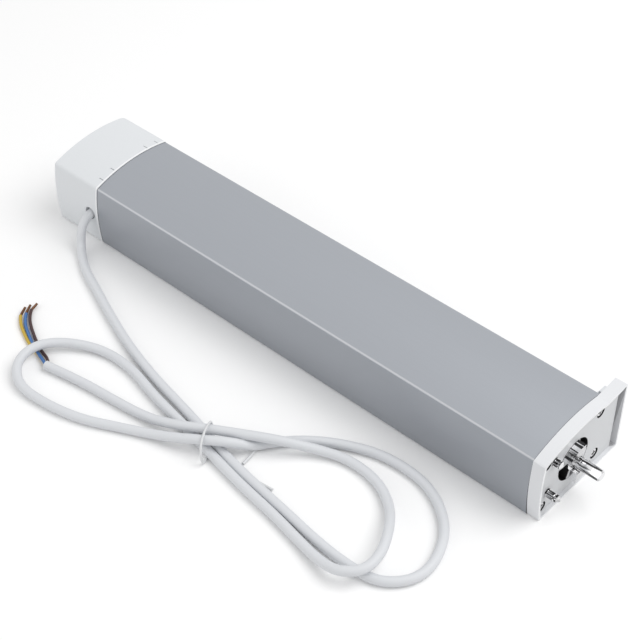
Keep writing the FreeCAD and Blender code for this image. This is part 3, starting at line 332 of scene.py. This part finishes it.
def steel_with_painted_reflections(name, face, flank, roughness, streaks, dark_share):
    """Steel with painted reflections: a painted tone on the front faces and painted dark streaks
    over dark_share of the flanks.
    """
    material, shader, place, noise = noisy(name, roughness, 1.0, streaks, 1.0, streak_detail)
    tree = material.node_tree
    bands = tree.nodes.new("ShaderNodeValToRGB")
    dark_stop, bright_stop = bands.color_ramp.elements
    dark_stop.position = noise_low + noise_span * dark_share
    dark_stop.color = tone(flank, reflection_dark_tone)
    bright_stop.position = noise_low + noise_span * dark_share + step_width
    bright_stop.color = tone(flank, 1.0)
    facing = tree.nodes.new("ShaderNodeSeparateXYZ")
    forward = tree.nodes.new("ShaderNodeMapRange")
    forward.inputs["From Min"].default_value = flank_until
    forward.inputs["From Max"].default_value = front_from
    tree.links.new(noise.outputs["Fac"], bands.inputs["Fac"])
    tree.links.new(place.outputs["Normal"], facing.inputs["Vector"])
    tree.links.new(facing.outputs["X"], forward.inputs["Value"])
    mix = mixed(tree, forward.outputs["Result"], tone(face, 1.0))
    tree.links.new(bands.outputs["Color"], mix.inputs["A"])
    tree.links.new(mix.outputs["Result"], shader.inputs["Base Color"])
    return material


# Every one of these has painted reflections: a painted tone on its front faces and painted streaks
# on its flanks.
finishes = {
    "bright_steel": steel_with_painted_reflections("nickel plate", (0.85, 0.85, 0.86), (0.62, 0.62, 0.63), 0.18,
                           (60.0, 800.0, 800.0), 0.65),
    "shaft_steel": steel_with_painted_reflections("ground steel", (0.90, 0.90, 0.91), (0.86, 0.86, 0.87), 0.14,
                          (60.0, 700.0, 700.0), 0.38),
    "hub_steel": steel_with_painted_reflections("hub plating", (0.70, 0.70, 0.71), (0.92, 0.92, 0.93), 0.25,
                        (40.0, 420.0, 420.0), 0.15),
    "screw_steel": steel_with_painted_reflections("screw plating", (0.80, 0.80, 0.81), (0.25, 0.25, 0.26), 0.30,
                          (300.0, 900.0, 900.0), 0.6),
}
print("made", len(finishes), "kinds of turned steel")

# %% [markdown]
# The rest of the outside is extruded aluminium with a silver anodised skin, moulded plastic at
# both ends, and a cord with a soft jacket that ends in bare cores. Each is one call with its
# colour, its roughness and its grain. The grain of the body is stretched along the motor, since
# extrusion leaves fine lines that way, and under its skin the metal shines only in part.

# %% Outside finishes
along_body = (0.02, 1.0, 1.0)
finishes.update({
    "anodised": grained("silver anodised", (0.37, 0.388, 0.42), 0.45, metallic=0.55, spread=0.03,
                        grain=2600.0, stretch=along_body, bump=0.04),
    "cap_plastic": grained("cap plastic", (0.74, 0.76, 0.78), 0.42, spread=0.015, bump=0.06),
    "flange_plastic": grained("flange plastic", (0.755, 0.765, 0.785), 0.40, spread=0.015,
                              bump=0.06),
    "button_plastic": grained("button plastic", (0.25, 0.26, 0.28), 0.45, spread=0.05),
    "clear_plastic": grained("clear acrylic", (0.85, 0.88, 0.88), 0.10, spread=0.02),
    "cord_jacket": grained("cord jacket", (0.695, 0.71, 0.735), 0.50, spread=0.012, bump=0.04),
    "tie_plastic": grained("tie coating", (0.70, 0.71, 0.72), 0.35, spread=0.02),
    "core_brown": grained("brown core", (0.050, 0.020, 0.020), 0.40, spread=0.10),
    "core_blue": grained("blue core", (0.055, 0.165, 0.42), 0.40, spread=0.08),
    "core_earth": grained("earth core", (0.55, 0.38, 0.045), 0.40, spread=0.10),
    "strand_copper": grained("oxidised strands", (0.15, 0.065, 0.030), 0.45, metallic=0.6,
                             spread=0.35, grain=4000.0),
})
print("finishes so far:", len(finishes))

# %% [markdown]
# The gears, the motor and the boards inside are hidden, but they can be looked at one by one, so
# they have finishes of their own: satin steel, bronze bushes, copper windings, pale gear
# plastic, black plastic, green boards and rubber. They use the same helper, because a finish
# that is built one way is easy to compare and to change.

# %% Inside finishes
finishes.update({
    "grey_steel": grained("satin steel", (0.50, 0.50, 0.52), 0.35, metallic=1.0),
    "bronze": grained("sintered bronze", (0.62, 0.46, 0.25), 0.45, metallic=1.0, spread=0.10),
    "copper": grained("copper", (0.78, 0.45, 0.28), 0.35, metallic=1.0, spread=0.08),
    "gear_plastic": grained("natural acetal", (0.84, 0.82, 0.76), 0.40, spread=0.02),
    "dark_plastic": grained("black plastic", (0.05, 0.05, 0.055), 0.45, spread=0.12),
    "board": grained("circuit board", (0.04, 0.22, 0.10), 0.35, spread=0.15, grain=400.0),
    "damper_rubber": grained("damper rubber", (0.05, 0.05, 0.05), 0.75, spread=0.15, bump=0.15),
})
print("finishes so far:", len(finishes))

# %% [markdown]
# The body has a painted highlight along its left ridge and a painted shadow at each end, where
# it dips behind the plastic, and the lip of the tail cap has a painted highlight where it
# catches the light. These are too thin to need a shape of their own, so each is a zone of a
# finish. A test on an object coordinate gives 0 or 1, the tests are multiplied, and the product
# mixes the zone's painted colour in.

# %% Painted highlights and shadows on the body and the cap
more, less = "GREATER_THAN", "LESS_THAN"
ridge_y = -0.0309
ridge_z = 0.0373
edge_width = 0.0004
lip_width = 0.0009
lip_overlap = 0.0001
ridge_highlight_colour = (0.50, 0.51, 0.53)
front_edge_shadow_colour = (0.10, 0.105, 0.115)
tail_edge_shadow_colour = (0.13, 0.135, 0.15)
lip_highlight_colour = (0.93, 0.94, 0.95)


def both(tree, first, second):
    """The product of two tests: 1 only where both hold."""
    product = tree.nodes.new("ShaderNodeMath")
    product.operation = "MULTIPLY"
    tree.links.new(first, product.inputs[0])
    tree.links.new(second, product.inputs[1])
    return product.outputs["Value"]


def add_painted_light_zone(finish, limits, colour):
    """Paint a zone of a finish with painted light or shade; limits are (axis, rule, metres) that
    all hold.
    """
    tree = finishes[finish].node_tree
    shader = tree.nodes["Principled BSDF"]
    plain = shader.inputs["Base Color"].links[0].from_socket
    place = tree.nodes.new("ShaderNodeTexCoord")
    parts = tree.nodes.new("ShaderNodeSeparateXYZ")
    tree.links.new(place.outputs["Object"], parts.inputs["Vector"])
    inside = None
    for axis, rule, limit in limits:
        test = tree.nodes.new("ShaderNodeMath")
        test.operation = rule
        test.inputs[1].default_value = limit
        tree.links.new(parts.outputs[axis], test.inputs[0])
        result = test.outputs["Value"]
        inside = both(tree, inside, result) if inside else result
    mix = mixed(tree, inside, (*colour, 1.0))
    tree.links.new(plain, mix.inputs["A"])
    tree.links.new(mix.outputs["Result"], shader.inputs["Base Color"])
    print(finish, "has a zone with", len(limits), "limits")


# A painted highlight on the left ridge, a painted shadow at both ends of the body, and a painted
# highlight on the lip of the cap.
add_painted_light_zone("anodised", [("Z", more, ridge_z), ("Y", less, ridge_y)], ridge_highlight_colour)
add_painted_light_zone("anodised", [("X", more, body_high.x - edge_width)], front_edge_shadow_colour)
add_painted_light_zone("anodised", [("X", less, body_low.x + edge_width)], tail_edge_shadow_colour)
add_painted_light_zone("cap_plastic", [("X", more, body_low.x - lip_width),
                         ("X", less, body_low.x + lip_overlap)], lip_highlight_colour)

# %% [markdown]
# Each solid has a material slot in the record, and the slot's name is the name of its finish, so
# one loop dresses them all. Four solids share a slot with others but look a little different,
# and they get a finish of their own. The solids aren't moved or changed by this.

# %% Dress the solids
slot_of = {part["node"]: part["material_slot"] for part in frame["record"]["subparts"]}
own_finish = {"claw_hub": "hub_steel", "flange_screws": "screw_steel",
              "front_flange": "flange_plastic", "output_shaft": "shaft_steel"}

for node in nodes:
    mesh = nodes[node].data
    mesh.materials.clear()
    mesh.materials.append(finishes[own_finish.get(node, slot_of[node])])
print("dressed", len(nodes), "solids from", len(set(slot_of.values())), "slots")

# %% [markdown]
# A hollow that faces away from the lamps looks much darker than the wall round it, so its faces
# get a second finish with painted shade. Painted highlights and painted reflections are given to
# faces the same way. A mesh can hold several materials, and each face has the number of its
# own. A rule looks at the middle and the direction of every face and says whether it belongs,
# so the solid's shape stays as it is.

# %% A second finish for some faces
def paint(node, finish, chosen):
    """Give the faces of a solid that a rule chooses a second finish."""
    mesh = nodes[node].data
    mesh.materials.append(finishes[finish])
    slot = len(mesh.materials) - 1
    painted = 0
    for face in mesh.polygons:
        if chosen(face.center, face.normal):
            face.material_index = slot
            painted += 1
    print(node, "has", painted, "faces in", finish)


def beside(place, y, z, radius):
    """Whether a place is within a radius of a line along X."""
    return math.hypot(place.y - y, place.z - z) < radius


def round_shaft(place, radius):
    return beside(place, shaft_middle.y, shaft_middle.z, radius)


flange_faces = nodes["front_flange"].data.polygons
print("the front flange has", len(flange_faces), "faces to choose from")

# %% [markdown]
# The front flange is a moulded plate with a shallow recess, a trough beside it, and bores for
# the screws and the hub. The bores get a nearly black painted shade, the trough a grey painted
# shade, the floor of the recess a little painted shade, and the rim a painted highlight where it
# catches the light. Each of these is chosen by limits along X, Y and Z, by a distance from a
# bore's middle, or by faces that look forward.

# %% Hollows of the front flange
recess_depth = 0.00185
floor_x = flange_front_x - recess_depth
face_slack = 0.0001
behind_floor = floor_x - face_slack
floor_slack = 2 * face_slack
rim_x = flange_front_x - face_slack / 2
front_share = 0.9
trough_x = 0.1567
trough_y = (0.0285, 0.0323)
trough_z = (0.0008, 0.0418)
screw_places = [(-0.0272, 0.0339), (0.01455, 0.0366), (0.01475, 0.0079), (-0.02765, 0.0054)]
screw_bore_radius = 0.0034
hub_bore_radius = 0.0119
# Painted shade for the trough, the bores and the floor of the recess, and a painted highlight for
# the rim.
finishes.update({
    "trough_painted_shade": grained("trough plastic with painted shade", (0.50, 0.505, 0.52), 0.50, spread=0.03, bump=0.06),
    "deep_painted_shade": grained("painted deep shade", (0.006, 0.006, 0.007), 0.60, spread=0.20),
    "flange_recess_painted_shade": grained("recess plastic with painted shade", (0.64, 0.65, 0.665), 0.45, spread=0.015,
                              bump=0.06),
    "rim_painted_highlight": grained("rim plastic with painted highlight", (0.87, 0.88, 0.89), 0.40, spread=0.010, bump=0.04),
})


def in_trough(place, normal):
    return (trough_x < place.x < behind_floor and trough_y[0] < place.y < trough_y[1]
            and trough_z[0] < place.z < trough_z[1])


def in_bore(place, normal):
    by_screw = any(beside(place, y, z, screw_bore_radius) for y, z in screw_places)
    return place.x < behind_floor and (by_screw or round_shaft(place, hub_bore_radius))


def on_recess_floor(place, normal):
    return abs(place.x - floor_x) < floor_slack and normal.x > front_share


def on_rim_front(place, normal):
    return place.x > rim_x and normal.x > front_share


paint("front_flange", "trough_painted_shade", in_trough)
paint("front_flange", "deep_painted_shade", in_bore)
paint("front_flange", "flange_recess_painted_shade", on_recess_floor)
paint("front_flange", "rim_painted_highlight", on_rim_front)

# %% [markdown]
# The hub is a plated disc with windows, keys and claws round the shaft. One looks into the
# windows as into dark holes, so they get a nearly black painted shade; its flank mirrors the dark
# gap beside it, so it gets painted dark reflections in bands; and the upper claws get painted
# shade on their sides. Its faces level with the floor of the recess get painted shade as that
# floor does. The bands are chosen by their angle round the shaft. The screws get painted shade
# below their heads, where no light reaches.

# %% Painted shade and reflections on the hub and the screws
window_radius = 0.0112
before_floor = floor_x + face_slack
side_share = 0.5
dark_bands = [(72.0, 87.0), (108.0, 112.0), (129.0, 137.0)]
half_turn = 180.0
head_back_x = 0.1586
# Painted dark reflections in bands and painted shade on the claw sides, and painted shade on the
# hub's faces at the floor of the recess.
finishes.update({
    "dark_painted_reflection_and_shade": grained("plating with painted dark reflection and shade", (0.030, 0.030, 0.032), 0.30, metallic=0.6,
                            spread=0.20),
    "hub_floor_painted_shade": grained("hub floor plating with painted shade", (0.60, 0.61, 0.62), 0.45, metallic=0.3,
                              spread=0.03),
})


def in_window(place, normal):
    return place.x < behind_floor and round_shaft(place, window_radius)


def on_dark_band(place, normal):
    turn = math.degrees(math.atan2(place.z - shaft_middle.z, place.y - shaft_middle.y)) % half_turn
    on_flank = not round_shaft(place, window_radius) and abs(normal.x) < side_share
    return on_flank and any(start < turn < end for start, end in dark_bands)


def on_claw_side(place, normal):
    spoke = Vector((0.0, place.y - shaft_middle.y, place.z - shaft_middle.z)).normalized()
    on_claw = place.x > before_floor and place.z > shaft_middle.z
    return on_claw and abs(normal.x) < side_share and abs(normal.dot(spoke)) < side_share


def under_head(place, normal):
    return place.x < head_back_x


paint("claw_hub", "deep_painted_shade", in_window)
paint("claw_hub", "dark_painted_reflection_and_shade", on_dark_band)
paint("claw_hub", "dark_painted_reflection_and_shade", on_claw_side)
paint("claw_hub", "hub_floor_painted_shade", on_recess_floor)
paint("flange_screws", "deep_painted_shade", under_head)

# %% [markdown]
# The two locating studs and the top of the release tab are shorter than their solids. A solid is
# left alone, so a copy of its mesh is made: its loose triangles are merged into one surface, its
# points are moved by a rule, and the copy takes the solid's place. Edges that are nearly flat
# are shaded smooth, and sharp ones stay sharp.

# %% Studs and release tab
merge_distance = 1e-6
smooth_angle = math.radians(30)
stud_split_z = 0.022
stud_share = {"low": 0.86, "high": 0.50}
tab_shoulder_z = 0.0345
tab_share = 0.70


def reshaped(node, name, body, move):
    """A copy of a node whose points are moved by a rule; it takes the node's place."""
    shape = bmesh.new()
    shape.from_mesh(nodes[node].data)
    bmesh.ops.remove_doubles(shape, verts=shape.verts, dist=merge_distance)
    for corner in shape.verts:
        move(corner.co)
    bmesh.ops.recalc_face_normals(shape, faces=shape.faces)
    for edge in shape.edges:
        edge.smooth = len(edge.link_faces) == 2 and edge.calc_face_angle(0.0) < smooth_angle
    for face in shape.faces:
        face.smooth = True
    mesh = bpy.data.meshes.new(name)
    shape.to_mesh(mesh)
    shape.free()
    mesh.materials.append(finishes[slot_of[node]])
    piece = bpy.data.objects.new(name, mesh)
    bpy.context.scene.collection.objects.link(piece)
    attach(piece, body)
    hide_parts(node)
    print(name, "has", len(mesh.polygons), "faces")


def shorten_stud(place):
    share = stud_share["low" if place.z < stud_split_z else "high"]
    if place.x > floor_x:
        place.x = floor_x + (place.x - floor_x) * share


def lower_tab(place):
    if place.z > tab_shoulder_z:
        place.z = tab_shoulder_z + (place.z - tab_shoulder_z) * tab_share


reshaped("locating_studs", "short_studs", "housing", shorten_stud)
reshaped("release_tab", "low_tab", "latch", lower_tab)

# %% [markdown]
# The cord leaves a hole in the tail cap, runs along the floor and round two loops, and ends
# bare. A cord on the floor has no corners, so its line is a spline pulled along by listed
# points, from the cap to the cut end. Where strands cross, the upper one rises over the lower
# one. A round bevel on the curve gives the jacket its thickness.

# %% The power cord
cord_diameter = 0.0050
cord_points = [
    (-0.1467, -0.0306, 0.0190), (-0.1463, -0.0372, 0.0186), (-0.1454, -0.0424, 0.0128),
    (-0.1432, -0.0454, 0.0046), (-0.1374, -0.0500, 0.0026), (-0.1270, -0.0566, 0.0026),
    (-0.1120, -0.0626, 0.0026), (-0.0910, -0.0715, 0.0026), (-0.0660, -0.0810, 0.0026),
    (-0.0380, -0.0885, 0.0026), (-0.0120, -0.0933, 0.0026), (0.0089, -0.0980, 0.0026),
    (0.0271, -0.1023, 0.0026), (0.0466, -0.1053, 0.0026), (0.0707, -0.1081, 0.0026),
    (0.0949, -0.1115, 0.0026), (0.1146, -0.1122, 0.0026), (0.1302, -0.1100, 0.0026),
    (0.1412, -0.0980, 0.0026), (0.1414, -0.0825, 0.0026), (0.1319, -0.0635, 0.0026),
    (0.1105, -0.0500, 0.0026), (0.0830, -0.0495, 0.0026), (0.0620, -0.0580, 0.0026),
    (0.0460, -0.0690, 0.0026), (0.0360, -0.0805, 0.0026), (0.0305, -0.0900, 0.0036),
    (0.0246, -0.0989, 0.0098), (0.0134, -0.1061, 0.0090), (0.0013, -0.1119, 0.0062),
    (-0.0120, -0.1165, 0.0030), (-0.0280, -0.1240, 0.0026), (-0.0450, -0.1325, 0.0026),
    (-0.0650, -0.1373, 0.0026), (-0.0860, -0.1387, 0.0030), (-0.0990, -0.1296, 0.0044),
    (-0.1004, -0.1158, 0.0061), (-0.0917, -0.1024, 0.0048), (-0.0738, -0.0916, 0.0026),
    (-0.0520, -0.0915, 0.0026), (-0.0310, -0.0970, 0.0026), (-0.0120, -0.1002, 0.0026),
    (0.0060, -0.1032, 0.0026), (0.0259, -0.1071, 0.0026), (0.0457, -0.1105, 0.0026),
    (0.0675, -0.1131, 0.0026), (0.0876, -0.1169, 0.0028), (0.1024, -0.1200, 0.0044),
    (0.1146, -0.1211, 0.0079), (0.1238, -0.1131, 0.0090), (0.1231, -0.1005, 0.0090),
    (0.1160, -0.0865, 0.0083), (0.1050, -0.0729, 0.0034), (0.0900, -0.0645, 0.0026),
    (0.0710, -0.0635, 0.0026), (0.0560, -0.0700, 0.0040), (0.0446, -0.0793, 0.0086),
    (0.0330, -0.0862, 0.0093), (0.0195, -0.0940, 0.0093), (0.0070, -0.1011, 0.0089),
    (-0.0060, -0.1068, 0.0064), (-0.0220, -0.1102, 0.0028), (-0.0430, -0.1128, 0.0026),
    (-0.0660, -0.1150, 0.0026), (-0.0875, -0.1194, 0.0026),
]
round_steps = 8
length_steps = 10
spline_order = 3


def make_wire(name, lines, radius, finish, closed=0, open_share=1.0):
    """Round wires along NURBS splines; the first few may be closed, the open ones thicker."""
    curve = bpy.data.curves.new(name, "CURVE")
    curve.dimensions = "3D"
    curve.bevel_depth = radius
    curve.bevel_resolution = round_steps
    curve.use_fill_caps = True
    for count, points in enumerate(lines):
        is_closed = count < closed
        spline = curve.splines.new("NURBS")
        spline.points.add(len(points) - 1)
        for point, place in zip(spline.points, points):
            point.co = (*place, 1.0)
            point.radius = 1.0 if is_closed else open_share
        spline.order_u = spline_order
        spline.use_cyclic_u = is_closed
        spline.use_endpoint_u = not is_closed
        spline.resolution_u = length_steps
    curve.materials.append(finishes[finish])
    wire = bpy.data.objects.new(name, curve)
    bpy.context.scene.collection.objects.link(wire)
    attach(wire, "housing")
    return wire


cord = make_wire("cord", [cord_points], cord_diameter / 2, "cord_jacket")
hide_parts("power_cord")
print("cord:", len(cord_points), "control points")

# %% [markdown]
# At the far end the jacket is cut back and three cores come out: brown, blue and earth. They
# pass under the loop and fan out, and each ends in a short twist of bare strands that have gone
# dark. The cores and the twists are thin round wires made by the helper that made the cord.

# %% Cores and bare strands
core_radius = 0.00086
strand_radius = 0.00068
core_lines = {
    "core_brown": [(-0.0865, -0.1186, 0.0032), (-0.0899, -0.1157, 0.0026),
                   (-0.0972, -0.1137, 0.0016), (-0.1054, -0.1106, 0.0013),
                   (-0.1178, -0.1043, 0.0013), (-0.1236, -0.0998, 0.0013),
                   (-0.1264, -0.0963, 0.0013)],
    "core_blue": [(-0.0865, -0.1200, 0.0032), (-0.0903, -0.1182, 0.0027),
                  (-0.0973, -0.1160, 0.0016), (-0.1060, -0.1130, 0.0013),
                  (-0.1178, -0.1073, 0.0013), (-0.1230, -0.1037, 0.0013),
                  (-0.1262, -0.1000, 0.0013)],
    "core_earth": [(-0.0865, -0.1194, 0.0017), (-0.0900, -0.1176, 0.0012),
                   (-0.0975, -0.1157, 0.0010), (-0.1059, -0.1146, 0.0011),
                   (-0.1180, -0.1095, 0.0013), (-0.1232, -0.1066, 0.0013),
                   (-0.1272, -0.1031, 0.0013)],
}
strand_lines = [
    [(-0.1262, -0.0965, 0.0013), (-0.1268, -0.0950, 0.0013), (-0.1276, -0.0913, 0.0016)],
    [(-0.1260, -0.1002, 0.0013), (-0.1274, -0.0985, 0.0013), (-0.1294, -0.0944, 0.0016)],
    [(-0.1270, -0.1033, 0.0013), (-0.1282, -0.1015, 0.0013), (-0.1300, -0.0975, 0.0016)],
]

for name, points in core_lines.items():
    core = make_wire(name + "_wire", [points], core_radius, name)
    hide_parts(name)
strands = make_wire("bare_strands", strand_lines, strand_radius, "strand_copper")
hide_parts("core_strands")
print("cores:", len(core_lines), "and twists of bare strands:", len(strand_lines))

# %% [markdown]
# A coated wire tie holds the four strands of the cord where they cross. It is a closed ring
# round them, and its two tails lie free on the floor. Such a tie is a little flat, and the tails
# lie on their flat side, so they are drawn thicker than the ring.

# %% The tie
tie_radius = 0.0006
tail_share = 1.3
tie_ring = [
    (0.0098, -0.0955, 0.0030), (0.0096, -0.0955, 0.0118), (0.0110, -0.0992, 0.0124),
    (0.0132, -0.1040, 0.0126), (0.0160, -0.1092, 0.0110), (0.0192, -0.1130, 0.0062),
    (0.0200, -0.1120, 0.0006), (0.0160, -0.1045, 0.0006), (0.0112, -0.0970, 0.0006),
]
tie_tails = [
    [(0.0310, -0.0850, 0.0013), (0.0330, -0.0900, 0.0009), (0.0339, -0.0990, 0.0009)],
    [(0.0450, -0.1030, 0.0011), (0.0500, -0.1024, 0.0013), (0.0560, -0.1016, 0.0011)],
]

tie = make_wire("wire_tie", [tie_ring] + tie_tails, tie_radius, "tie_plastic", closed=1,
                open_share=tail_share)
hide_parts("cord_tie")
